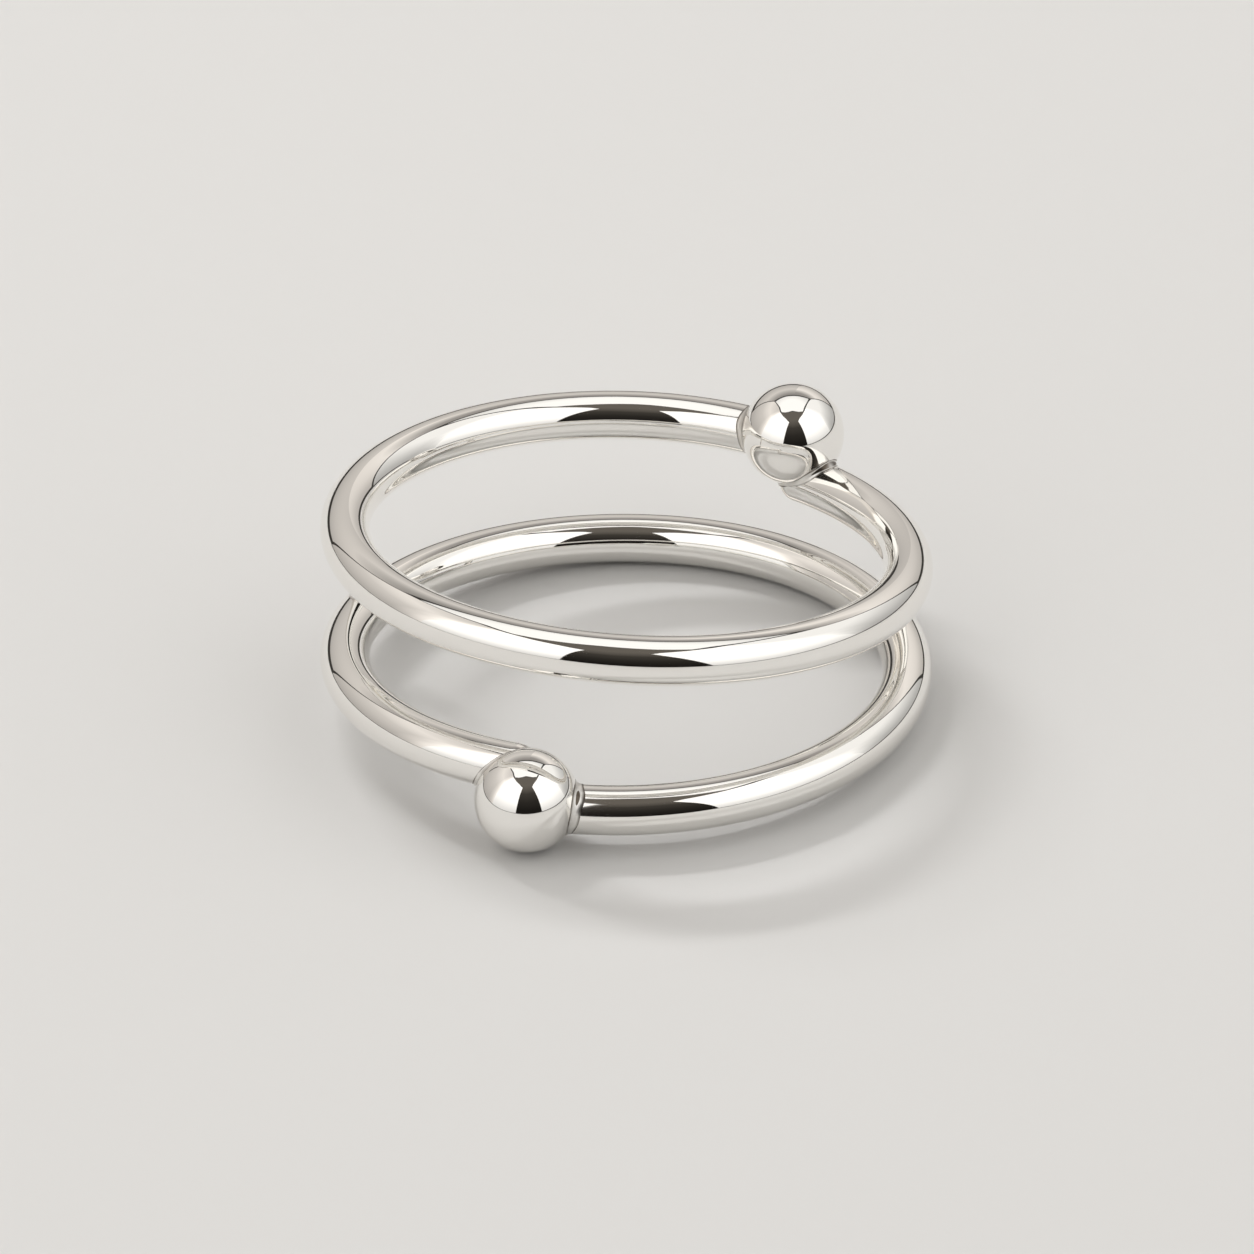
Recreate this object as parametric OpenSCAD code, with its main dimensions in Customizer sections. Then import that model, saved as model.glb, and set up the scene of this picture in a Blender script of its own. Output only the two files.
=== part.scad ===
// Polished silver ring made of two turns of round wire, one above the other.
// Each turn closes on a ball: one wire end runs into the ball, and the free end passes beside it, soldered.
// Two short posts at the sides hold the turns apart. All of it is soldered into one solid.
// Azimuths are in degrees from +X towards +Y. The ring lies on its lower ball and on the wire across from it.

/* [Finger] */
// Inner diameter of each turn, where the finger goes
inner_d = 17.3; // [14:0.1:22]

/* [Wire turns] */
// Diameter of the round wire
wire_d = 1.68; // [1.4:0.02:2]
// Height from the middle of the lower turn to the middle of the upper one
turn_spacing = 4.67; // [4:0.01:6]
// Height by which the two ends of the upper turn pass each other, wire centre to wire centre
upper_pass = 1.2; // [0.8:0.05:1.5]
// Height by which the two ends of the lower turn pass each other, wire centre to wire centre
lower_pass = 1.25; // [0.8:0.05:1.5]
// Angle that the upper turn tips against the lower one
upper_tip = 4.1; // [0:0.1:5]
// Azimuth of the upper turn's low side
upper_tip_at = 40; // [0:1:360]
// Sideways offset of the upper turn along X
upper_offset_x = 0.07; // [-0.4:0.01:0.4]
// Sideways offset of the upper turn along Y
upper_offset_y = -0.11; // [-0.4:0.01:0.4]

/* [Balls] */
// Diameter of each ball
ball_d = 3.5; // [3:0.1:4.2]
// Azimuth of the upper ball
upper_ball_at = 52.7; // [40:0.1:80]
// Azimuth of the lower ball
lower_ball_at = 249.7; // [230:0.1:280]
// Height of the upper ball's centre above the wire end inside it
upper_ball_lift = 0.3; // [0:0.05:0.5]
// Height of the lower ball's centre above the wire end inside it
lower_ball_lift = 0.34; // [0:0.02:0.5]
// Distance of the lower ball's centre outside the wire's circle
lower_ball_out = 0.4; // [0:0.05:0.6]
// Angle by which the upper turn's free wire stops short of its ball's azimuth, before its rounded tip
upper_free_gap = 3; // [0:0.5:8]
// Angle by which the lower turn's free wire stops short of its ball's azimuth, before its rounded tip
lower_free_gap = 3.5; // [0:0.5:8]

/* [Posts] */
// Diameter of each post between the turns
post_d = 0.8; // [0.6:0.1:1.2]
// Azimuth of the right post, at the top and at the foot
right_post_at = 13; // [0:1:25]
// Azimuth of the left post's top
left_post_top_at = 165; // [140:1:175]
// Azimuth of the left post's foot
left_post_foot_at = 159; // [140:1:175]

/* [Hidden] */
wire_r = wire_d / 2;
ball_r = ball_d / 2;
turn_r = (inner_d + wire_d) / 2;
// The free ends' rounded tips are a hair thinner than the wire
tip_r = wire_r - 0.01;
// Angle that each half of a turn is bent up or down about the wire's own line across from the ball
upper_bend = -asin(upper_pass / (4 * turn_r));
lower_bend = asin(lower_pass / (4 * turn_r));
upper_middle = [upper_offset_x, upper_offset_y, turn_spacing];
upper_tip_axis = [-sin(upper_tip_at), cos(upper_tip_at), 0];
// The lower ball reaches lower than the wire, so the ring leans on it. The lean brings the ball's lowest point
// and the lowest point of the wire across from it to one level.
ball_reach = 2 * turn_r * cos(lower_bend) + lower_ball_out;
ball_drop = lower_pass / 2 - lower_ball_lift;
rest_lean = atan(ball_drop / ball_reach) + asin((ball_r - wire_r) / norm([ball_reach, ball_drop]));
rest_axis = [-sin(lower_ball_at), cos(lower_ball_at), 0];
rest_height = wire_r + turn_r * sin(rest_lean);
// The lower ball stands out in front, so the ring is set back to keep the middle of its box over the origin
box_front = (turn_r + lower_ball_out) * sin(lower_ball_at) - ball_r;
box_back = turn_r + wire_r + upper_offset_y - turn_spacing * sin(rest_lean) * sin(lower_ball_at);
set_back = -(box_front + box_back) / 2;
silver = "silver";

// A point on a turn's centre line, in the turn's own frame
function turn_point(ball_at, bend, at) =
    let (from_joint = (at - ball_at + 720) % 360 - 180,
         inward = turn_r * (1 - cos(from_joint)),
         side = sign(from_joint))
    turned([turn_r - inward * cos(bend), turn_r * sin(from_joint), side * inward * sin(bend)],
        [0, 0, 1], ball_at + 180);

// A point turned about an axis through the origin
function turned(point, axis, angle) =
    point * cos(angle) + cross(axis, point) * sin(angle) + axis * (axis * point) * (1 - cos(angle));

// A point of the upper turn's own frame, seen from the lower turn's
function on_upper(point) = turned(point, upper_tip_axis, upper_tip) + upper_middle;

// A flat arc of the wire from the point across from the ball, at azimuth 0, over the given angle
module wire_arc(sweep) {
    rotate_extrude(angle = sweep, $fn = 144) translate([turn_r, 0]) circle(d = wire_d, $fn = 48);
}

// One turn of wire: two flat arcs, bent up and down about the line of the wire where they meet.
// The free one ends in a rounded tip.
module turn(ball_at, bend, free_gap) {
    free_sweep = 180 - free_gap;
    rotate([0, 0, ball_at + 180]) translate([turn_r, 0, 0]) {
        rotate([0, -bend, 0]) translate([-turn_r, 0, 0]) wire_arc(-180);
        rotate([0, bend, 0]) translate([-turn_r, 0, 0]) {
            wire_arc(free_sweep);
            rotate([0, 0, free_sweep]) translate([turn_r, 0, 0]) rotate([90, 0, 0]) sphere(r = tip_r, $fn = 48);
        }
    }
}

// The ball that covers a turn's two ends. Its poles point along the turn's radius, clear of both wires.
module ball(ball_at, bend, lift, out) {
    translate(turn_point(ball_at, bend, ball_at) + [out * cos(ball_at), out * sin(ball_at), lift])
        rotate([0, 90 * sign(bend), ball_at]) sphere(d = ball_d, $fn = 72);
}

// Sets the upper turn and its ball over the lower turn
module upper_place() {
    translate(upper_middle) rotate(a = upper_tip, v = upper_tip_axis) children();
}

// A straight post from the lower turn's centre line to the upper one's
module post(foot_at, top_at) {
    foot = turn_point(lower_ball_at, lower_bend, foot_at);
    top = on_upper(turn_point(upper_ball_at, upper_bend, top_at));
    run = top - foot;
    translate(foot) rotate([0, acos(run.z / norm(run)), atan2(run.y, run.x)])
        cylinder(h = norm(run), d = post_d, $fn = 48);
}

// Leans the ring onto its ball and lifts it to stand at height 0
module rest_place() {
    translate([0, set_back, rest_height]) rotate(a = -rest_lean, v = rest_axis) children();
}

module ring() {
    color(silver) rest_place() union() {
        turn(lower_ball_at, lower_bend, lower_free_gap);
        ball(lower_ball_at, lower_bend, lower_ball_lift, lower_ball_out);
        upper_place() {
            turn(upper_ball_at, upper_bend, upper_free_gap);
            ball(upper_ball_at, upper_bend, upper_ball_lift, 0);
        }
        post(right_post_at, right_post_at);
        post(left_post_foot_at, left_post_top_at);
    }
}

ring();
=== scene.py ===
"""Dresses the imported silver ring: two turns of polished wire, their balls, two posts and the solder.

The wires, balls and posts come from geometry trees that hold the same sizes as the part's source. The solder
is worked out as a bead that rolls along each joint. All lengths are in millimetres until they reach a mesh.
"""

import functools
import math

import bmesh
import bpy
import numpy as np
from mathutils import Matrix, Vector


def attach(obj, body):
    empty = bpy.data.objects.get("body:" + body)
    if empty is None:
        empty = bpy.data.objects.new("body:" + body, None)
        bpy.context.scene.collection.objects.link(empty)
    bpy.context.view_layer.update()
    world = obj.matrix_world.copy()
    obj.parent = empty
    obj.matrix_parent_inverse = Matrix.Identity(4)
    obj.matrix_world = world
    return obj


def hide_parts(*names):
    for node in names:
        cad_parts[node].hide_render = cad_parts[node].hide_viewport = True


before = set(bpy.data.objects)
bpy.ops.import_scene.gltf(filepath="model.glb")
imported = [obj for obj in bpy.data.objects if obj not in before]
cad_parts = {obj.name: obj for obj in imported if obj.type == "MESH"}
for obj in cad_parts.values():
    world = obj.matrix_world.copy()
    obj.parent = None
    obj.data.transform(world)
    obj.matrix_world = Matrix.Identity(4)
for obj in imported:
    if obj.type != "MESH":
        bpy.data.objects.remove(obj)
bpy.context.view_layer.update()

MM = 0.001

# The ring's own sizes, the same as in the part's source
INNER_D = 17.3
WIRE_D = 1.68
TURN_SPACING = 4.67
UPPER_PASS = 1.2
LOWER_PASS = 1.25
UPPER_TIP = 4.1
UPPER_TIP_AT = 40.0
UPPER_OFFSET = (0.07, -0.11)
BALL_D = 3.5
UPPER_BALL_AT = 52.7
LOWER_BALL_AT = 249.7
UPPER_BALL_LIFT = 0.3
LOWER_BALL_LIFT = 0.34
LOWER_BALL_OUT = 0.4
UPPER_FREE_GAP = 3.0
LOWER_FREE_GAP = 3.5
POST_D = 0.8
RIGHT_POST_AT = 13.0
LEFT_POST_TOP_AT = 165.0
LEFT_POST_FOOT_AT = 159.0

WIRE_R = WIRE_D / 2
BALL_R = BALL_D / 2
POST_R = POST_D / 2
TURN_R = (INNER_D + WIRE_D) / 2


# Where things are


def spin(degrees, axis):
    return Matrix.Rotation(math.radians(degrees), 4, axis)


def bend_of(height_passed):
    """The angle of each half of a turn about the wire's own line across from the ball."""
    return math.degrees(math.asin(height_passed / (4 * TURN_R)))


UPPER_BEND = -bend_of(UPPER_PASS)
LOWER_BEND = bend_of(LOWER_PASS)


def across(azimuth):
    """The level axis at right angles to an azimuth."""
    a = math.radians(azimuth)
    return Vector((-math.sin(a), math.cos(a), 0))


def rest_place():
    """Leans the ring onto its lower ball, stands it on height 0 and sets it back over the origin."""
    reach = 2 * TURN_R * math.cos(math.radians(LOWER_BEND)) + LOWER_BALL_OUT
    drop = LOWER_PASS / 2 - LOWER_BALL_LIFT
    lean = math.atan(drop / reach) + math.asin((BALL_R - WIRE_R) / math.hypot(reach, drop))
    height = WIRE_R + TURN_R * math.sin(lean)
    forward = math.sin(math.radians(LOWER_BALL_AT))
    front = (TURN_R + LOWER_BALL_OUT) * forward - BALL_R
    back = TURN_R + WIRE_R + UPPER_OFFSET[1] - TURN_SPACING * math.sin(lean) * forward
    standing = Matrix.Translation((0, -(front + back) / 2, height))
    return standing @ spin(-math.degrees(lean), across(LOWER_BALL_AT))


REST = rest_place()
UPPER_MIDDLE = Matrix.Translation((*UPPER_OFFSET, TURN_SPACING))
UPPER_LEAN = spin(UPPER_TIP, across(UPPER_TIP_AT))
LOWER_PLACE = REST @ spin(LOWER_BALL_AT + 180, "Z")
UPPER_PLACE = REST @ UPPER_MIDDLE @ UPPER_LEAN @ spin(UPPER_BALL_AT + 180, "Z")


def on_turn(degrees, bend):
    """A point of a turn's centre line, in its own frame, so many degrees round from across the ball."""
    a, b = math.radians(degrees), math.radians(bend)
    inward = TURN_R * (1 - math.cos(a))
    side = math.copysign(1, a)
    return Vector((TURN_R - inward * math.cos(b), TURN_R * math.sin(a), side * inward * math.sin(b)))


def from_across(azimuth, ball_at):
    """How many degrees an azimuth lies round a turn from the point across its ball."""
    return (azimuth - ball_at + 720) % 360 - 180


def on_line(place, bend, ball_at, azimuth):
    """The point of a turn's centre line at an azimuth of its own frame."""
    return place @ on_turn(from_across(azimuth, ball_at), bend)


LINE_POINTS = 260


def centre_line(place, bend, start, stop):
    """A stretch of a turn's centre line in the ring's frame, as an array of points."""
    return np.array([place @ on_turn(a, bend) for a in np.linspace(start, stop, LINE_POINTS)])


LOWER_BALL = LOWER_PLACE @ (on_turn(-180, LOWER_BEND) + Vector((-LOWER_BALL_OUT, 0, LOWER_BALL_LIFT)))
UPPER_BALL = UPPER_PLACE @ (on_turn(-180, UPPER_BEND) + Vector((0, 0, UPPER_BALL_LIFT)))
RIGHT_FOOT = on_line(LOWER_PLACE, LOWER_BEND, LOWER_BALL_AT, RIGHT_POST_AT)
RIGHT_TOP = on_line(UPPER_PLACE, UPPER_BEND, UPPER_BALL_AT, RIGHT_POST_AT)
LEFT_FOOT = on_line(LOWER_PLACE, LOWER_BEND, LOWER_BALL_AT, LEFT_POST_FOOT_AT)
LEFT_TOP = on_line(UPPER_PLACE, UPPER_BEND, UPPER_BALL_AT, LEFT_POST_TOP_AT)


# Wiring of nodes


class Wiring:
    """Adds nodes to a tree and joins them, so that a tree reads as a few sums."""

    def __init__(self, tree):
        self.tree = tree

    def node(self, kind, feeds=None, **settings):
        made = self.tree.nodes.new(kind)
        for key, value in settings.items():
            setattr(made, key, value)
        for socket, value in (feeds or {}).items():
            self.feed(made.inputs[socket], value)
        return made

    def feed(self, socket, value):
        if isinstance(value, bpy.types.NodeSocket):
            self.tree.links.new(value, socket)
        else:
            socket.default_value = value

    def sum(self, operation, *values):
        made = self.node("ShaderNodeMath", operation=operation)
        for socket, value in zip(made.inputs, values):
            self.feed(socket, value)
        return made.outputs[0]

    def total(self, *values):
        return functools.reduce(functools.partial(self.sum, "ADD"), values)

    def product(self, *values):
        return functools.reduce(functools.partial(self.sum, "MULTIPLY"), values)

    def fading(self, value, full_at, none_at):
        """1 where the value is full_at, 0 where it is none_at, and a straight slope between the two."""
        feeds = {"Value": value, "From Min": none_at, "From Max": full_at}
        return self.node("ShaderNodeMapRange", feeds).outputs[0]

    def vector(self, x=0.0, y=0.0, z=0.0):
        return self.node("ShaderNodeCombineXYZ", {"X": x, "Y": y, "Z": z}).outputs[0]

    def added(self, first, second):
        return self.node("ShaderNodeVectorMath", {0: first, 1: second}, operation="ADD").outputs[0]

    def scaled(self, vector, factor):
        return self.node("ShaderNodeVectorMath", {0: vector, "Scale": factor}, operation="SCALE").outputs[0]

    def attribute(self, name):
        return self.node("ShaderNodeAttribute", attribute_name=name).outputs


class GroupWiring(Wiring):
    """The same inside a node group, with its named inputs and outputs."""

    def __init__(self, tree):
        super().__init__(tree)
        self.given = tree.nodes.new("NodeGroupInput")
        self.result = tree.nodes.new("NodeGroupOutput")

    def __getitem__(self, name):
        return self.given.outputs[name]

    def give(self, **results):
        for name, value in results.items():
            self.feed(self.result.inputs[name], value)


# Geometry trees

POST_RINGS = 24
# The last ring of a free tip lies this many degrees round it, just short of the pole, and a cap closes it
TIP_ROUND = 89.5
# How close together the points along a ball's cube edges lie when they are made one
MERGE_WITHIN = 0.0001
RIPPLE_SCALE = 2.2
# How far along the wire, from the middle of its ball, the soldering has dulled the polish
WORKED_TO = 2.2
UNWORKED_FROM = 3.6
# The same round the point where a wire meets its ball
JOINT_WORKED_TO = 0.95
JOINT_UNWORKED_FROM = 1.5
KINDS = {float: "NodeSocketFloat", int: "NodeSocketInt", tuple: "NodeSocketVector"}


def shape_tree(name, sizes):
    """An empty geometry tree whose named inputs are its sizes and its material."""
    tree = bpy.data.node_groups.new(name, "GeometryNodeTree")
    for label, value in sizes.items():
        socket = tree.interface.new_socket(label, in_out="INPUT", socket_type=KINDS[type(value)])
        socket.default_value = value
    tree.interface.new_socket("Material", in_out="INPUT", socket_type="NodeSocketMaterial")
    tree.interface.new_socket("Mesh", in_out="OUTPUT", socket_type="NodeSocketGeometry")
    return GroupWiring(tree)


def finish_piece(w, mesh):
    """The end of every tree: smooth faces, real geometry and the material."""
    smooth = w.node("GeometryNodeSetShadeSmooth", {"Geometry": mesh})
    real = w.node("GeometryNodeRealizeInstances", {"Geometry": smooth.outputs[0]})
    dressed = w.node("GeometryNodeSetMaterial", {"Geometry": real.outputs[0], "Material": w["Material"]})
    w.give(Mesh=dressed.outputs[0])


def kept_value(w, mesh, label, value, kind):
    """Keeps a value on every point of a mesh, for its material."""
    feeds = {"Geometry": mesh, "Name": label, "Value": value}
    return w.node("GeometryNodeStoreNamedAttribute", feeds, data_type=kind, domain="POINT").outputs[0]


def carried(w, curve, **values):
    """Lets a curve carry values, each given as its kind and its value, into the mesh that is made of it."""
    made = w.node("GeometryNodeCaptureAttribute", {"Geometry": curve})
    for label, (kind, value) in values.items():
        made.capture_items.new(kind, label)
        w.feed(made.inputs[label], value)
    return made.outputs


def sweep_round(w, line, radius, points_round):
    """Sweeps a circle along a line.

    Each point keeps its place on the same wire laid out straight, in "straight", and how much the soldering
    there has dulled it, in "worked".
    """
    along = w.node("GeometryNodeSplineParameter").outputs["Length"]
    length = w.node("GeometryNodeSplineLength").outputs["Length"]
    from_end = w.sum("MINIMUM", along, w.sum("SUBTRACT", length, along))
    path = carried(w, line, Along=("FLOAT", along), FromEnd=("FLOAT", from_end))
    circle = w.node("GeometryNodeCurvePrimitiveCircle", {"Resolution": points_round, "Radius": 1.0})
    place = w.node("GeometryNodeInputPosition").outputs[0]
    section = carried(w, circle.outputs[0], Round=("VECTOR", place))
    tube = w.node(
        "GeometryNodeCurveToMesh",
        {
            "Curve": path["Geometry"],
            "Profile Curve": section["Geometry"],
            "Scale": radius,
            "Fill Caps": True,
        },
    )
    straight = w.added(w.scaled(section["Round"], w["Wire radius"]), w.vector(z=path["Along"]))
    placed = kept_value(w, tube.outputs[0], "straight", straight, "FLOAT_VECTOR")
    worked = w.fading(path["FromEnd"], WORKED_TO * MM, UNWORKED_FROM * MM)
    return kept_value(w, placed, "worked", worked, "FLOAT")


def turn_tree():
    """A turn of wire: from inside the ball, round past the point across from it, to a rounded free tip."""
    w = shape_tree(
        "wire turn",
        {
            "Turn radius": TURN_R * MM,
            "Wire radius": WIRE_R * MM,
            "Bend": 0.0,
            "Free sweep": math.pi,
            "Tip length": WIRE_R * MM,
            "Points along": 2,
            "Tip rings": 2,
            "Points round": 3,
        },
    )
    steps = w.sum("SUBTRACT", w["Points along"], 1.0)
    line = w.node("GeometryNodeMeshLine", {"Count": w.total(w["Points along"], w["Tip rings"])})
    curve = w.node("GeometryNodeMeshToCurve", {"Mesh": line.outputs[0]})
    index = w.node("GeometryNodeInputIndex").outputs[0]
    on_wire = w.sum("DIVIDE", w.sum("MINIMUM", index, steps), steps)
    on_tip = w.sum("DIVIDE", w.sum("MAXIMUM", w.sum("SUBTRACT", index, steps), 0.0), w["Tip rings"])
    tip_angle = w.product(on_tip, math.radians(TIP_ROUND))
    past_end = w.sum("DIVIDE", w.product(w.sum("SINE", tip_angle), w["Tip length"]), w["Turn radius"])
    swept = w.product(on_wire, w.total(w["Free sweep"], math.pi))
    angle = w.total(w.sum("SUBTRACT", swept, math.pi), past_end)
    inward = w.product(w.sum("SUBTRACT", 1.0, w.sum("COSINE", angle)), w["Turn radius"])
    x = w.sum("SUBTRACT", w["Turn radius"], w.product(inward, w.sum("COSINE", w["Bend"])))
    y = w.product(w["Turn radius"], w.sum("SINE", angle))
    z = w.product(inward, w.sum("SINE", w["Bend"]), w.sum("SIGN", angle))
    feeds = {"Geometry": curve.outputs[0], "Position": w.vector(x, y, z)}
    placed = w.node("GeometryNodeSetPosition", feeds)
    radius = w.product(w["Wire radius"], w.sum("COSINE", tip_angle))
    finish_piece(w, sweep_round(w, placed.outputs[0], radius, w["Points round"]))
    return w.tree


def post_tree():
    """A straight post of round wire from one point to another."""
    w = shape_tree(
        "post",
        {
            "Foot": (0.0, 0.0, 0.0),
            "Top": (0.0, 0.0, 1.0),
            "Wire radius": POST_R * MM,
            "Points round": 3,
        },
    )
    line = w.node("GeometryNodeCurvePrimitiveLine", {"Start": w["Foot"], "End": w["Top"]})
    fine = w.node("GeometryNodeResampleCurve", {"Curve": line.outputs[0], "Count": POST_RINGS})
    finish_piece(w, sweep_round(w, fine.outputs[0], w["Wire radius"], w["Points round"]))
    return w.tree


def ball_tree():
    """A polished ball: a finely cut cube blown up to a sphere, with the faint ripple of hand polishing."""
    w = shape_tree(
        "ball",
        {
            "Centre": (0.0, 0.0, 0.0),
            "Joint": (0.0, 0.0, 0.0),
            "Tip joint": (0.0, 0.0, 0.0),
            "Radius": BALL_R * MM,
            "Ripple": 0.0,
            "Points a side": 2,
        },
    )
    sides = {f"Vertices {axis}": w["Points a side"] for axis in "XYZ"}
    cube = w.node("GeometryNodeMeshCube", {"Size": (1.0, 1.0, 1.0), **sides})
    place = w.node("GeometryNodeInputPosition").outputs[0]
    outward = w.node("ShaderNodeVectorMath", {0: place}, operation="NORMALIZE").outputs[0]
    waves = w.node("ShaderNodeTexNoise", {"Vector": outward, "Scale": RIPPLE_SCALE, "Detail": 0.0})
    height = w.product(w.sum("SUBTRACT", waves.outputs[0], 0.5), w["Ripple"])
    moved = w.added(w.scaled(outward, w.total(w["Radius"], height)), w["Centre"])
    blown = w.node("GeometryNodeSetPosition", {"Geometry": cube.outputs["Mesh"], "Position": moved})
    feeds = {"Geometry": blown.outputs[0], "Distance": MERGE_WITHIN * MM}
    whole = w.node("GeometryNodeMergeByDistance", feeds)
    near = []
    for joint in ("Joint", "Tip joint"):
        gap = w.node("ShaderNodeVectorMath", {0: place, 1: w[joint]}, operation="DISTANCE")
        near.append(w.fading(gap.outputs["Value"], JOINT_WORKED_TO * MM, JOINT_UNWORKED_FROM * MM))
    finish_piece(w, kept_value(w, whole.outputs[0], "worked", w.sum("MAXIMUM", *near), "FLOAT"))
    return w.tree


def in_scene(name, data):
    """Puts a mesh, a camera or a light in the scene."""
    made = bpy.data.objects.new(name, data)
    bpy.context.scene.collection.objects.link(made)
    return made


def piece_from_tree(name, tree, material, values, place=None):
    """Runs a tree with these sizes and keeps its result as a plain mesh in the ring's frame."""
    piece = in_scene(name, bpy.data.meshes.new(name))
    modifier = piece.modifiers.new("shape", "NODES")
    modifier.node_group = tree
    ids = {s.name: s.identifier for s in tree.interface.items_tree if s.in_out == "INPUT"}
    for label, value in {**values, "Material": material}.items():
        modifier[ids[label]] = value
    depsgraph = bpy.context.evaluated_depsgraph_get()
    mesh = bpy.data.meshes.new_from_object(piece.evaluated_get(depsgraph))
    piece.modifiers.clear()
    blank, piece.data = piece.data, mesh
    bpy.data.meshes.remove(blank)
    mesh.name = name
    if place is not None:
        shift = place.copy()
        shift.translation *= MM
        mesh.transform(shift)
    return piece


# Solder

SOLDER_ROUND = 240
SOLDER_STEPS = 12
# Its faces are smoothed over edges up to this angle
SOLDER_SHARP = 40
# How far the edges of the solder's skin and the wedge behind it reach into the metal
SOLDER_TUCK = 0.002
SOLDER_DEPTH = 0.08
# The solder is dark at its seams, up to the first of these rows in from the edge. At the second it has faded
# to SOLDER_DULL.
SEAM_ROWS = (2, 4)
SOLDER_DULL = 0.15
# Each swell that hand work leaves in a bead: its share of the bead, its waves round, its share of the phase
SWELLS = ((0.16, 2, 1.0), (0.08, 5, 2.3))
# Where the bead is looked for: so many degrees round a ball, or so many wire radii along a post
BALL_SEARCH = 115
POST_SEARCH = 2.2
HALVINGS = 34
# A direction that rises more than this is near upright
NEAR_UPRIGHT = 0.9


def nearest_on(line, points):
    """The nearest point of a line of short straight steps to each given point."""
    start, step = line[:-1], line[1:] - line[:-1]
    best = np.full(len(points), np.inf)
    found = np.zeros_like(points)
    for a, d in zip(start, step):
        t = np.clip(((points - a) @ d) / (d @ d), 0, 1)
        q = a + t[:, None] * d
        gap = np.linalg.norm(points - q, axis=1)
        closer = gap < best
        best[closer], found[closer] = gap[closer], q[closer]
    return found, best


def ring_round(direction, turn):
    """The unit vectors at right angles to a direction, at each angle round it."""
    upright = abs(direction[2]) >= NEAR_UPRIGHT
    helper = np.array([1.0, 0.0, 0.0]) if upright else np.array([0.0, 0.0, 1.0])
    a = np.cross(direction, helper)
    a /= np.linalg.norm(a)
    return np.outer(np.cos(turn), a) + np.outer(np.sin(turn), np.cross(direction, a))


def bead_sizes(bead, phase):
    """The solder's radius round a joint: even, but for the slow swell of hand work."""
    turn = np.linspace(0, 2 * math.pi, SOLDER_ROUND, endpoint=False)
    swell = sum(share * np.sin(waves * turn + lag * phase) for share, waves, lag in SWELLS)
    return turn, bead * (1 + swell)


def halve_towards(high, place_of, line, reach):
    """The place, at every angle, that just touches the wire.

    It is looked for between 0, which is inside the wire's reach, and high, which is outside it.
    """
    low, high = np.zeros(SOLDER_ROUND), np.full(SOLDER_ROUND, high)
    for _ in range(HALVINGS):
        middle = (low + high) / 2
        _, gap = nearest_on(line, place_of(middle))
        inside = gap < reach
        low = np.where(inside, middle, low)
        high = np.where(inside, high, middle)
    return place_of((low + high) / 2)


def joint_of_ball(centre, line, crossing, bead, phase):
    """Where a bead rolls round the joint of a wire and its ball, its size, and the points it rolls about."""
    turn, size = bead_sizes(bead, phase)
    centre = np.array(centre)
    pole = crossing - centre
    pole /= np.linalg.norm(pole)
    aside = ring_round(pole, turn)
    far = (BALL_R + size)[:, None]

    def place_of(angle):
        return centre + far * (np.cos(angle)[:, None] * pole + np.sin(angle)[:, None] * aside)

    rolls = halve_towards(math.radians(BALL_SEARCH), place_of, line, WIRE_R + size)
    on_wire, _ = nearest_on(line, rolls)
    return rolls, size, on_wire, np.broadcast_to(centre, rolls.shape)


def joint_of_post(end, other, line, bead, phase):
    """The same round the foot or the top of a post."""
    turn, size = bead_sizes(bead, phase)
    end, other = np.array(end), np.array(other)
    up = other - end
    up /= np.linalg.norm(up)
    aside = ring_round(up, turn)
    far = (POST_R + size)[:, None]

    def place_of(height):
        return end + height[:, None] * up + far * aside

    rolls = halve_towards(WIRE_R * POST_SEARCH, place_of, line, WIRE_R + size)
    on_wire, _ = nearest_on(line, rolls)
    on_post = end + ((rolls - end) @ up)[:, None] * up
    return rolls, size, on_wire, on_post


def solder_mesh(name, joint):
    """The hollow that the rolling bead leaves: a curved skin outside, closed by a wedge inside the metal."""
    rolls, size, first, second = joint
    to_first = first - rolls
    to_first /= np.linalg.norm(to_first, axis=1)[:, None]
    to_second = second - rolls
    to_second /= np.linalg.norm(to_second, axis=1)[:, None]
    whole = np.arccos(np.clip((to_first * to_second).sum(1), -1, 1))[:, None]
    rows = [rolls + to_first * (size + SOLDER_DEPTH)[:, None]]
    for k in range(SOLDER_STEPS + 1):
        t = k / SOLDER_STEPS
        way = (np.sin((1 - t) * whole) * to_first + np.sin(t * whole) * to_second) / np.sin(whole)
        tuck = SOLDER_TUCK if k in (0, SOLDER_STEPS) else 0.0
        rows.append(rolls + way * (size + tuck)[:, None])
    rows.append(rolls + to_second * (size + SOLDER_DEPTH)[:, None])
    deep = len(rows)
    faces = []
    for i in range(deep):
        here, after = i * SOLDER_ROUND, (i + 1) % deep * SOLDER_ROUND
        for j in range(SOLDER_ROUND):
            beside = (j + 1) % SOLDER_ROUND
            faces.append((here + j, here + beside, after + beside, after + j))
    mesh = bpy.data.meshes.new(name)
    mesh.from_pydata((np.concatenate(rows) * MM).tolist(), [], faces)
    from_edge = np.minimum(np.arange(deep), deep - 1 - np.arange(deep))
    on_seam = np.interp(from_edge, SEAM_ROWS, (1.0, SOLDER_DULL))
    seam = mesh.attributes.new("seam", "FLOAT", "POINT")
    seam.data.foreach_set("value", np.repeat(on_seam, SOLDER_ROUND))
    return mesh


# Finishes

PLAIN_SOCKETS = {"Vector": "NodeSocketVector"}
PLAIN_SOCKETS.update({label: "NodeSocketColor" for label in ("Colour", "Clean", "Warm", "Dark")})
# The inputs of a Mix node that mixes colours, and its output
MIX_SHARE, MIX_FIRST, MIX_SECOND = 0, 6, 7
MIX_RESULT = 2
BUMP_HEIGHT = 0.00001

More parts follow.
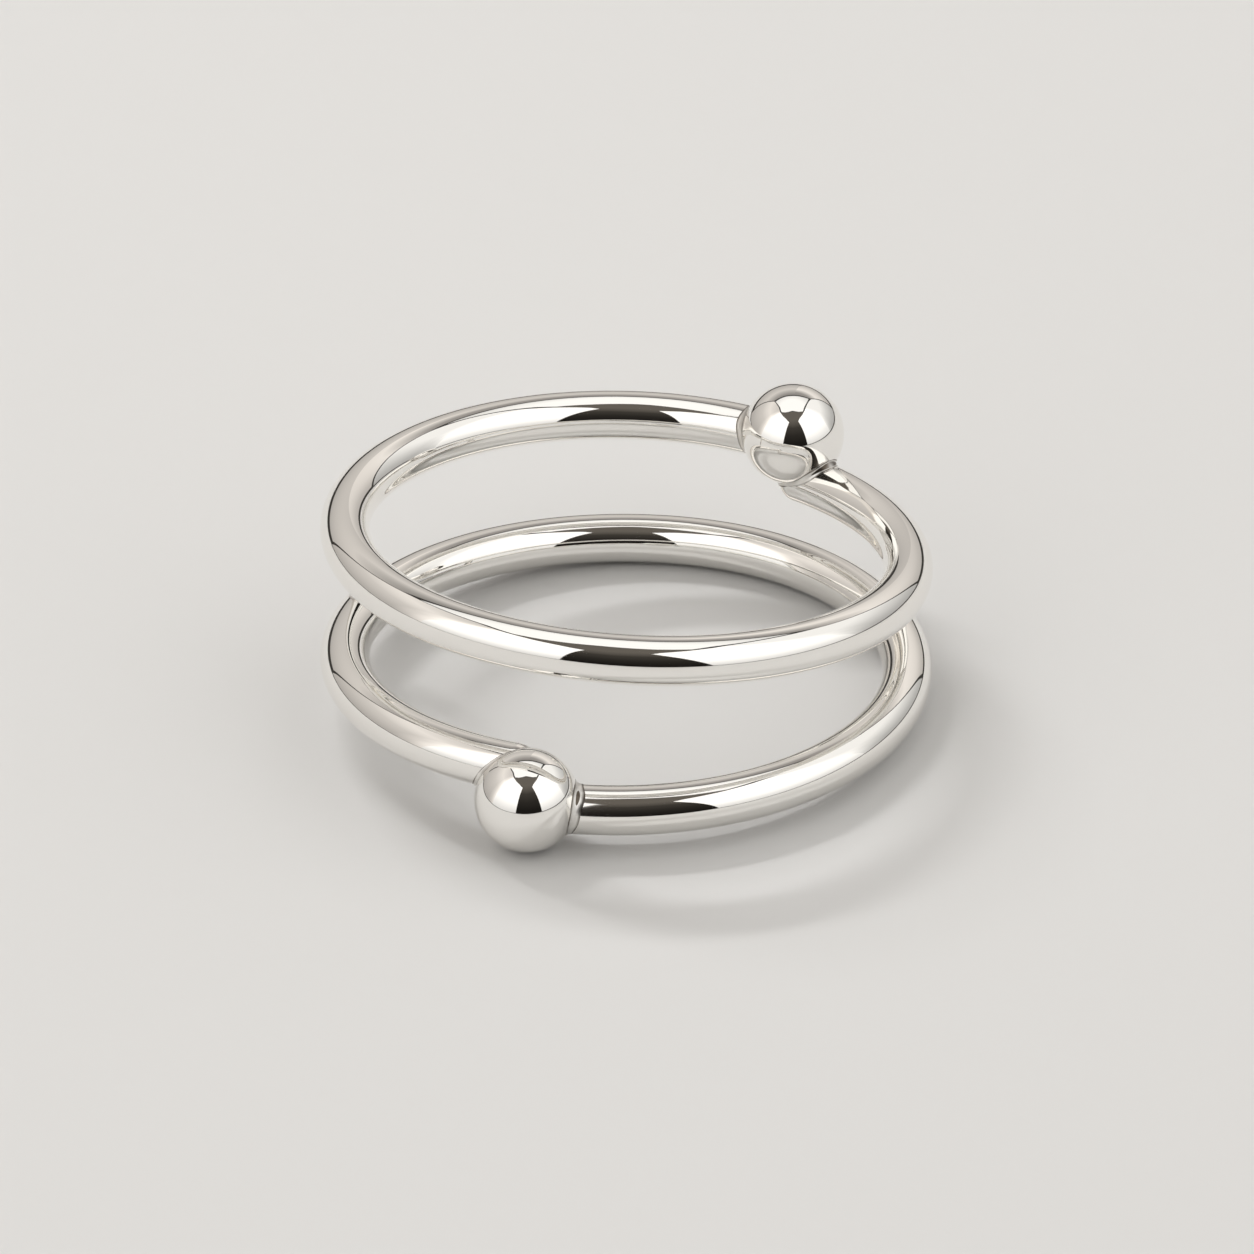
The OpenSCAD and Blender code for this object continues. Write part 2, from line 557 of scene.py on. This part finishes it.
# Each pattern's waves a metre. Hairlines and filing marks run along the wire, so they are drawn out along Z.
HAIRLINE_WAVES = 9000.0
HAIRLINE_STRETCH = (1.0, 1.0, 0.03)
FINGERING_WAVES = 260.0
RUBBING_WAVES = 900.0
SWELL_WAVES = 420.0
FILING_WAVES = 1700.0
FILING_STRETCH = (1.0, 1.0, 0.35)
WARM_WAVES = 190.0
SEAM_WAVES = 1400.0
# Where in its noise a pattern is full and where it is gone
FINGERED = (0.72, 0.48)
WARM = (0.8, 0.4)
SEAMED = (0.5, 0.2)
# How much each pattern roughens the silver, and how high a hairline stands
FINGERING_ROUGHNESS = 0.06
HAIRLINE_ROUGHNESS = 0.03
RUBBING_ROUGHNESS = 0.11
HAIRLINE_HEIGHT = 0.02


def shader_group(name, inputs, outputs):
    """An empty shader group with these named inputs and outputs."""
    tree = bpy.data.node_groups.new(name, "ShaderNodeTree")

    def socket_for(label, side):
        kind = PLAIN_SOCKETS.get(label, "NodeSocketFloat")
        return tree.interface.new_socket(label, in_out=side, socket_type=kind)

    for label, value in inputs.items():
        socket = socket_for(label, "INPUT")
        if value is not None:
            socket.default_value = value
    for label in outputs:
        socket_for(label, "OUTPUT")
    return GroupWiring(tree)


def noise(w, scale, detail=2.0, stretch=(1.0, 1.0, 1.0)):
    """Noise of so many waves a metre, finer or coarser by axis."""
    mapped = w.node("ShaderNodeMapping", {"Vector": w["Vector"], "Scale": stretch})
    made = w.node("ShaderNodeTexNoise", {"Vector": mapped.outputs[0], "Scale": scale, "Detail": detail})
    return made.outputs[0]


def polish_group():
    """A hand-polished surface.

    It has hairlines along Z, a faint ripple, patches where fingers have dulled it a little, and a rubbed and
    filed look where it was worked after soldering.
    """
    w = shader_group(
        "polish",
        {"Vector": None, "Shine": 0.02, "Hairlines": 0.5, "Fingering": 0.5, "Ripple": 0.5, "Worked": 0.0},
        ("Roughness", "Height"),
    )
    hair = w.product(noise(w, HAIRLINE_WAVES, detail=3.0, stretch=HAIRLINE_STRETCH), w["Hairlines"])
    touched = w.fading(noise(w, FINGERING_WAVES, detail=4.0), *FINGERED)
    dulled = w.product(touched, w["Fingering"], FINGERING_ROUGHNESS)
    rubbed = w.product(noise(w, RUBBING_WAVES, detail=3.0), w["Worked"], RUBBING_ROUGHNESS)
    roughness = w.total(w["Shine"], rubbed, dulled, w.product(hair, HAIRLINE_ROUGHNESS))
    swell = w.product(noise(w, SWELL_WAVES, detail=1.0), w["Ripple"])
    filed = w.product(noise(w, FILING_WAVES, stretch=FILING_STRETCH), w["Worked"])
    w.give(Roughness=roughness, Height=w.total(swell, w.product(hair, HAIRLINE_HEIGHT), filed))
    return w.tree


def mixed(w, share, first, second):
    """Two colours mixed, with so much of the second."""
    feeds = {MIX_SHARE: share, MIX_FIRST: first, MIX_SECOND: second}
    return w.node("ShaderNodeMix", feeds, data_type="RGBA").outputs[MIX_RESULT]


def tone_group():
    """Silver's own colour, a little warmer in patches and where Warmth is high, and dark along a seam."""
    w = shader_group(
        "silver tone",
        {
            "Vector": None,
            "Clean": (0.93, 0.915, 0.885, 1.0),
            "Warm": (0.86, 0.81, 0.73, 1.0),
            "Dark": (0.12, 0.1, 0.08, 1.0),
            "Warmth": 0.1,
            "Seam": 0.0,
        },
        ("Colour",),
    )
    warm_share = w.product(w.fading(noise(w, WARM_WAVES, detail=3.0), *WARM), w["Warmth"])
    seam_share = w.product(w["Seam"], w.fading(noise(w, SEAM_WAVES), *SEAMED))
    w.give(Colour=mixed(w, seam_share, mixed(w, warm_share, w["Clean"], w["Warm"]), w["Dark"]))
    return w.tree


POLISH = polish_group()
TONE = tone_group()


def silver(name, laid_straight, warmth, shine, hairlines, fingering, ripple, bump):
    """A silver finish. laid_straight lets the hairlines follow the wire."""
    material = bpy.data.materials.new(name)
    material.use_nodes = True
    w = Wiring(material.node_tree)
    surface = material.node_tree.nodes["Principled BSDF"]
    surface.inputs["Metallic"].default_value = 1.0
    if laid_straight:
        place = w.attribute("straight")["Vector"]
    else:
        place = w.node("ShaderNodeTexCoord").outputs["Object"]
    toned = {"Vector": place, "Warmth": warmth, "Seam": w.attribute("seam")["Fac"]}
    tone = w.node("ShaderNodeGroup", toned, node_tree=TONE)
    w.feed(surface.inputs["Base Color"], tone.outputs["Colour"])
    polished = {
        "Vector": place,
        "Shine": shine,
        "Hairlines": hairlines,
        "Fingering": fingering,
        "Ripple": ripple,
        "Worked": w.attribute("worked")["Fac"],
    }
    polish = w.node("ShaderNodeGroup", polished, node_tree=POLISH)
    w.feed(surface.inputs["Roughness"], polish.outputs["Roughness"])
    feeds = {"Height": polish.outputs["Height"], "Strength": bump, "Distance": BUMP_HEIGHT}
    w.feed(surface.inputs["Normal"], w.node("ShaderNodeBump", feeds).outputs[0])
    return material


WIRE_SILVER = silver(
    "polished silver wire",
    laid_straight=True, warmth=0.15, shine=0.02, hairlines=0.5, fingering=0.4, ripple=0.5, bump=0.2,
)
BALL_SILVER = silver(
    "polished silver ball",
    laid_straight=False, warmth=0.1, shine=0.015, hairlines=0.2, fingering=0.3, ripple=0.3, bump=0.1,
)
SOLDER_SILVER = silver(
    "silver solder",
    laid_straight=False, warmth=0.5, shine=0.3, hairlines=0.6, fingering=0.8, ripple=1.5, bump=0.5,
)


# The ring

TURN_POINTS = {"Points along": 1100, "Tip rings": 20, "Points round": 64}
POST_POINTS = {"Points round": 48}
BALL_POINTS = {"Points a side": 72, "Ripple": 0.0015 * MM}
NODE = "ring"
# The stretches of wire at a ball reach back to here, in degrees from the point across the ball
INTO_BALL_TO = 158.0
BESIDE_BALL_TO = 155.0
POST_BEAD = 0.12
# The stretch of wire at a post reaches so many degrees to each side of it
POST_REACH = 14.0


def dress(piece):
    """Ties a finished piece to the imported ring."""
    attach(piece, "root")
    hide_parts(NODE)


def crossing_of(centre, line, off_ball):
    """The point of a line that lies nearest to a given height off a ball."""
    away = np.linalg.norm(line - np.array(centre), axis=1)
    return line[np.argmin(np.abs(away - BALL_R - off_ball))]


def solder_piece(name, joint):
    mesh = solder_mesh(name, joint)
    bm = bmesh.new()
    bm.from_mesh(mesh)
    bmesh.ops.recalc_face_normals(bm, faces=bm.faces)
    bm.to_mesh(mesh)
    bm.free()
    mesh.shade_smooth()
    mesh.set_sharp_from_angle(angle=math.radians(SOLDER_SHARP))
    mesh.materials.append(SOLDER_SILVER)
    dress(in_scene(name, mesh))


def wires_at_ball(place, bend, gap):
    """The stretch of wire that runs into a turn's ball, from inside it, and the free one beside the ball."""
    into_ball = centre_line(place, bend, -180, -INTO_BALL_TO)
    beside_ball = centre_line(place, bend, 180 - gap, BESIDE_BALL_TO)
    return into_ball, beside_ball


# Each turn's place, bend and free gap, and its ball's centre
TURNS = {
    "upper": (UPPER_PLACE, UPPER_BEND, UPPER_FREE_GAP, UPPER_BALL),
    "lower": (LOWER_PLACE, LOWER_BEND, LOWER_FREE_GAP, LOWER_BALL),
}
wire_turn = turn_tree()
for name, (place, bend, gap, _) in TURNS.items():
    sizes = {"Bend": math.radians(bend), "Free sweep": math.radians(180 - gap), **TURN_POINTS}
    dress(piece_from_tree(f"{name}_turn", wire_turn, WIRE_SILVER, sizes, place))
ball = ball_tree()
for name, (place, bend, gap, centre) in TURNS.items():
    joint, tip_joint = (crossing_of(centre, line, 0) for line in wires_at_ball(place, bend, gap))
    joints = {"Joint": Vector(joint) * MM, "Tip joint": Vector(tip_joint) * MM}
    sizes = {"Centre": centre * MM, **joints, **BALL_POINTS}
    dress(piece_from_tree(f"{name}_ball", ball, BALL_SILVER, sizes))

# Each post's foot and top
POSTS = {"right": (RIGHT_FOOT, RIGHT_TOP), "left": (LEFT_FOOT, LEFT_TOP)}
post = post_tree()
for name, (foot, top) in POSTS.items():
    sizes = {"Foot": foot * MM, "Top": top * MM, **POST_POINTS}
    dress(piece_from_tree(f"{name}_post", post, WIRE_SILVER, sizes))

# The solder's bead and phase where a turn's wire runs into its ball, and where its free end passes the ball
BALL_SOLDER = {"upper": ((0.3, 0.4), (0.2, 1.7)), "lower": ((0.38, 2.9), (0.2, 4.1))}
for name, (place, bend, gap, centre) in TURNS.items():
    wires = wires_at_ball(place, bend, gap)
    for joint, line, (bead, phase) in zip(("ball", "tip"), wires, BALL_SOLDER[name]):
        crossing = crossing_of(centre, line, bead)
        solder_piece(f"{name}_{joint}_solder", joint_of_ball(centre, line, crossing, bead, phase))

# Each post's joints: the post's end there and its other end, and the turn and azimuth that it stands at
LOWER_TURN = (LOWER_PLACE, LOWER_BEND, LOWER_BALL_AT)
UPPER_TURN = (UPPER_PLACE, UPPER_BEND, UPPER_BALL_AT)
POST_JOINTS = {
    "right_foot_solder": (RIGHT_FOOT, RIGHT_TOP, LOWER_TURN, RIGHT_POST_AT),
    "right_top_solder": (RIGHT_TOP, RIGHT_FOOT, UPPER_TURN, RIGHT_POST_AT),
    "left_foot_solder": (LEFT_FOOT, LEFT_TOP, LOWER_TURN, LEFT_POST_FOOT_AT),
    "left_top_solder": (LEFT_TOP, LEFT_FOOT, UPPER_TURN, LEFT_POST_TOP_AT),
}
for phase, (name, (end, other, (place, bend, ball_at), azimuth)) in enumerate(POST_JOINTS.items()):
    middle = from_across(azimuth, ball_at)
    line = centre_line(place, bend, middle - POST_REACH, middle + POST_REACH)
    solder_piece(name, joint_of_post(end, other, line, POST_BEAD, phase))


# The studio

SENSOR = 36.0
LENS = 371.15
CLIP_START = 0.01
CAMERA_AT = Vector((0.063, -376.227, 222.386))
CAMERA_RIGHT = Vector((0.99949, -0.01606, -0.02743))
CAMERA_FORWARD = Vector((0.0, 0.86387, -0.50372))

camera_data = bpy.data.cameras.new("camera")
camera_data.sensor_width = SENSOR
camera_data.lens = LENS
camera_data.clip_start = CLIP_START
camera = in_scene("camera", camera_data)
camera_axes = Matrix((CAMERA_RIGHT, CAMERA_RIGHT.cross(CAMERA_FORWARD), -CAMERA_FORWARD)).transposed()
camera.matrix_world = Matrix.Translation(CAMERA_AT * MM) @ camera_axes.to_4x4()
bpy.context.scene.camera = camera

# The tent of cloths round the ring: its radius in metres, and the steps of each cloth from foot to head
TENT = 0.55
TENT_STEPS = 5
FULL_GLOW = 2.0
# It stands a little out of true, as the reflections in the photo's balls do
TENT_TURN = spin(0.24, "Z") @ spin(-0.41, "Y") @ spin(0.63, "X")


def toward(azimuth, elevation):
    """The direction that lies so far round to the right of the camera's side, and so high."""
    a, e = math.radians(azimuth), math.radians(elevation)
    return TENT_TURN @ Vector((math.sin(a) * math.cos(e), -math.cos(a) * math.cos(e), math.sin(e)))


def glowing(name, colour, glow):
    """A lit cloth. glow has a row for each height: its elevation and how strongly the cloth shines there."""
    material = bpy.data.materials.new(name)
    material.use_nodes = True
    material.cycles.emission_sampling = "NONE"
    tree = material.node_tree
    tree.nodes.clear()
    w = Wiring(tree)
    position = w.node("ShaderNodeNewGeometry").outputs["Position"]
    height = w.node("ShaderNodeSeparateXYZ", {"Vector": position}).outputs["Z"]
    ramp = w.node("ShaderNodeValToRGB", {"Fac": w.sum("DIVIDE", height, TENT)})
    stops = ramp.color_ramp.elements
    while len(stops) < len(glow):
        stops.new(1.0)
    for stop, (elevation, strength) in zip(stops, glow):
        stop.position = math.sin(math.radians(elevation))
        stop.color = (*[strength / FULL_GLOW] * 3, 1.0)
    strength = w.product(ramp.outputs["Color"], w.attribute("share")["Fac"], FULL_GLOW)
    lit = w.node("ShaderNodeEmission", {"Color": (*colour, 1.0), "Strength": strength})
    w.node("ShaderNodeOutputMaterial", {"Surface": lit.outputs[0]})
    return material


def stage_mesh(name, points, faces, material):
    mesh = bpy.data.meshes.new(name)
    mesh.from_pydata(points, [], faces)
    mesh.materials.append(material)
    in_scene(name, mesh)
    return mesh


def cloth(name, columns, material, behind=1.0, bright_at=None):
    """A cloth of the tent.

    columns has a row for each azimuth: it, the cloth's foot and its head. behind sets the cloth back from
    the others. bright_at says at which azimuths the cloth shines more, and how much.
    """
    points = [
        toward(azimuth, foot + (head - foot) * k / TENT_STEPS) * TENT * behind
        for azimuth, foot, head in columns
        for k in range(TENT_STEPS + 1)
    ]
    tall = TENT_STEPS + 1
    faces = [
        (i * tall + k, (i + 1) * tall + k, (i + 1) * tall + k + 1, i * tall + k + 1)
        for i in range(len(columns) - 1)
        for k in range(TENT_STEPS)
    ]
    mesh = stage_mesh(name, points, faces, material)
    shares = [(bright_at or {}).get(azimuth, 1.0) for azimuth, _, _ in columns]
    share = mesh.attributes.new("share", "FLOAT", "POINT")
    share.data.foreach_set("value", np.repeat(shares, tall))


WHITE_LIGHT = (1.0, 0.985, 0.96)
GREY_LIGHT = (1.0, 0.945, 0.89)
DARK_LIGHT = (1.0, 0.89, 0.76)
FRONT_GLOW = [(0, 0.75), (10, 0.95), (22, 1.2), (65, 1.25)]
SET_BACK = 1.12
cloth(
    "left front cloth",
    [
        (-79, 1.5, 66), (-50, 1.5, 65), (-30, 1.5, 62.5), (-24, 1.5, 60.5), (-21.5, 22, 59.5),
        (-18.5, 42, 58.5), (-14, 56.5, 57),
    ],
    glowing("left front light", WHITE_LIGHT, FRONT_GLOW),
)
cloth(
    "right front cloth",
    [
        (23.5, 56.5, 57), (27.5, 40, 59), (29.5, 22, 60), (31, 1.5, 61), (40, 1.5, 63), (60, 1.5, 65),
        (92, 1.5, 64.5),
    ],
    glowing("right front light", WHITE_LIGHT, FRONT_GLOW),
)
cloth(
    "left side cloth",
    [
        (-138, 1.5, 48), (-132, 1.5, 54), (-122, 1.5, 60), (-110, 1.5, 64.5), (-94, 1.5, 66),
        (-86, 1.5, 66), (-79, 1.5, 66),
    ],
    glowing("left side light", GREY_LIGHT, [(0, 0.44), (12, 0.53), (30, 0.66), (46, 0.88), (62, 0.7)]),
    bright_at={-86: 1.25, -79: 1.75},
)
cloth(
    "right side cloth",
    [(92, 1.5, 64.5), (98, 1.5, 64), (105, 1.5, 63), (120, 1.5, 58), (132, 1.5, 50), (138, 1.5, 42)],
    glowing("right side light", WHITE_LIGHT, [(0, 0.42), (10, 0.52), (22, 0.72), (34, 0.97), (60, 1.0)]),
    bright_at={92: 1.5, 98: 1.15},
)
cloth(
    "right back cloth",
    [(140, 3.5, 42), (150, 3.5, 47.5), (165, 3.5, 51), (172, 3.5, 51.5)],
    glowing(
        "right back light",
        GREY_LIGHT,
        [(0, 0.45), (10, 0.56), (20, 0.76), (30, 0.9), (42, 0.36), (50, 0.28)],
    ),
)
cloth(
    "left back cloth",
    [(172, 6, 51.5), (180, 6, 52), (195, 6, 51), (210, 6, 49), (220, 6, 46)],
    glowing("left back light", GREY_LIGHT, [(0, 0.4), (12, 0.52), (30, 0.68), (42, 0.42), (50, 0.28)]),
)
cloth(
    "dark front cloth",
    [
        (-76, 64, 67), (-60, 60, 73), (-40, 50, 78.5), (-30, 1.5, 80), (0, 1.5, 82), (36, 1.5, 80),
        (44, 50, 78.5), (60, 60, 73), (76, 62, 67),
    ],
    glowing(
        "dark front light",
        DARK_LIGHT,
        [(8, 0.012), (28, 0.026), (48, 0.05), (62, 0.105), (75, 0.135)],
    ),
    behind=SET_BACK,
)
cloth(
    "top cloth",
    [
        (-76, 69, 90), (-60, 74.5, 90), (-40, 80, 90), (-20, 83, 90), (0, 84, 90), (20, 83.5, 90),
        (40, 81, 90), (60, 74.5, 90), (76, 68, 90), (90, 67.5, 90), (105, 66, 90), (120, 61, 90),
        (132, 53.5, 90), (140, 46, 90), (150, 51, 90), (165, 54, 90), (180, 55, 90), (195, 54, 90),
        (210, 52.5, 90), (222, 50.5, 90), (228, 56.5, 90), (238, 62.5, 90), (250, 67, 90),
        (270, 68.5, 90), (284, 69, 90),
    ],
    glowing("top light", WHITE_LIGHT, [(50, 0.8), (66, 1.1), (90, 1.1)]),
)

FLOOR_HALF = 1.5
FLOOR_COLOUR = (0.72, 0.715, 0.705, 1.0)
FLOOR_ROUGHNESS = 0.85
floor_material = bpy.data.materials.new("pale floor")
floor_material.use_nodes = True
floor_surface = floor_material.node_tree.nodes["Principled BSDF"]
floor_surface.inputs["Base Color"].default_value = FLOOR_COLOUR
floor_surface.inputs["Roughness"].default_value = FLOOR_ROUGHNESS
floor_corners = [(x * FLOOR_HALF, y * FLOOR_HALF, 0) for x, y in ((-1, -1), (1, -1), (1, 1), (-1, 1))]
stage_mesh("floor", floor_corners, [(0, 1, 2, 3)], floor_material)

# A soft window light from behind, for the floor alone: polished silver would show it as a spot
WINDOW_AT = Vector((-0.2, 0.4, 0.4))
WINDOW_SIZE = 0.3
WINDOW_WATTS = 9.0
window_data = bpy.data.lights.new("window", "AREA")
window_data.shape = "DISK"
window_data.size = WINDOW_SIZE
window_data.energy = WINDOW_WATTS
window = in_scene("window", window_data)
window.visible_glossy = False
window.location = WINDOW_AT
window.rotation_euler = (-WINDOW_AT).to_track_quat("-Z", "Y").to_euler()

AIR_COLOUR = (1.0, 0.93, 0.86, 1.0)
AIR_GLOW = 0.05
world = bpy.data.worlds.new("studio air")
world.use_nodes = True
air = world.node_tree.nodes["Background"]
air.inputs["Color"].default_value = AIR_COLOUR
air.inputs["Strength"].default_value = AIR_GLOW
bpy.context.scene.world = world
bpy.context.scene.view_settings.view_transform = "Standard"
bpy.context.scene.cycles.diffuse_bounces = 1
bpy.context.scene.cycles.use_light_tree = False
